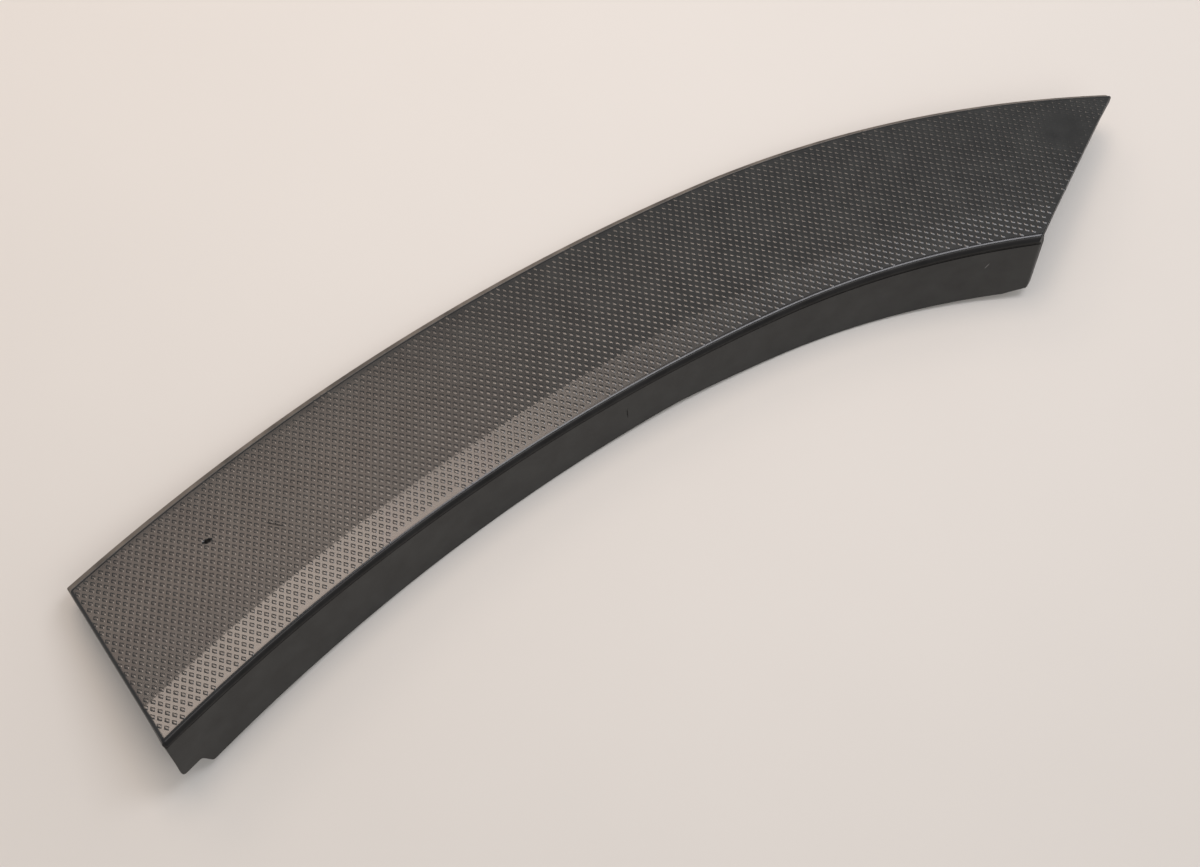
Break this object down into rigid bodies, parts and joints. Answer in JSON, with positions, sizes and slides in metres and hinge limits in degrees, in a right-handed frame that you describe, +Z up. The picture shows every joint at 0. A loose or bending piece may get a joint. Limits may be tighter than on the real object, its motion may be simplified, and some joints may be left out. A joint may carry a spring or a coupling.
{
  "type": "wheel arch trim",
  "caption": "Curved moulded plastic wheel arch trim: a textured, gently crowned face with a rolled lower bead, a return flange, a thin outer lip, and clip towers and pegs behind.",
  "frame": {"origin": "centre of the bounding box's footprint, on the plane that the trim rests on", "axes": "+X along the trim's length towards its pointed end, +Y across it from the return flange towards the outer lip, +Z up, on the side of the textured face"},
  "size_m": [0.3527, 0.0995, 0.0285],
  "materials": {
    "moulded_plastic": "injection moulded in black, with a grained face and a satin bead and flange"
  },
  "bodies": {
    "root": {"arch_trim": "moulded_plastic"}
  },
  "joints": []
}
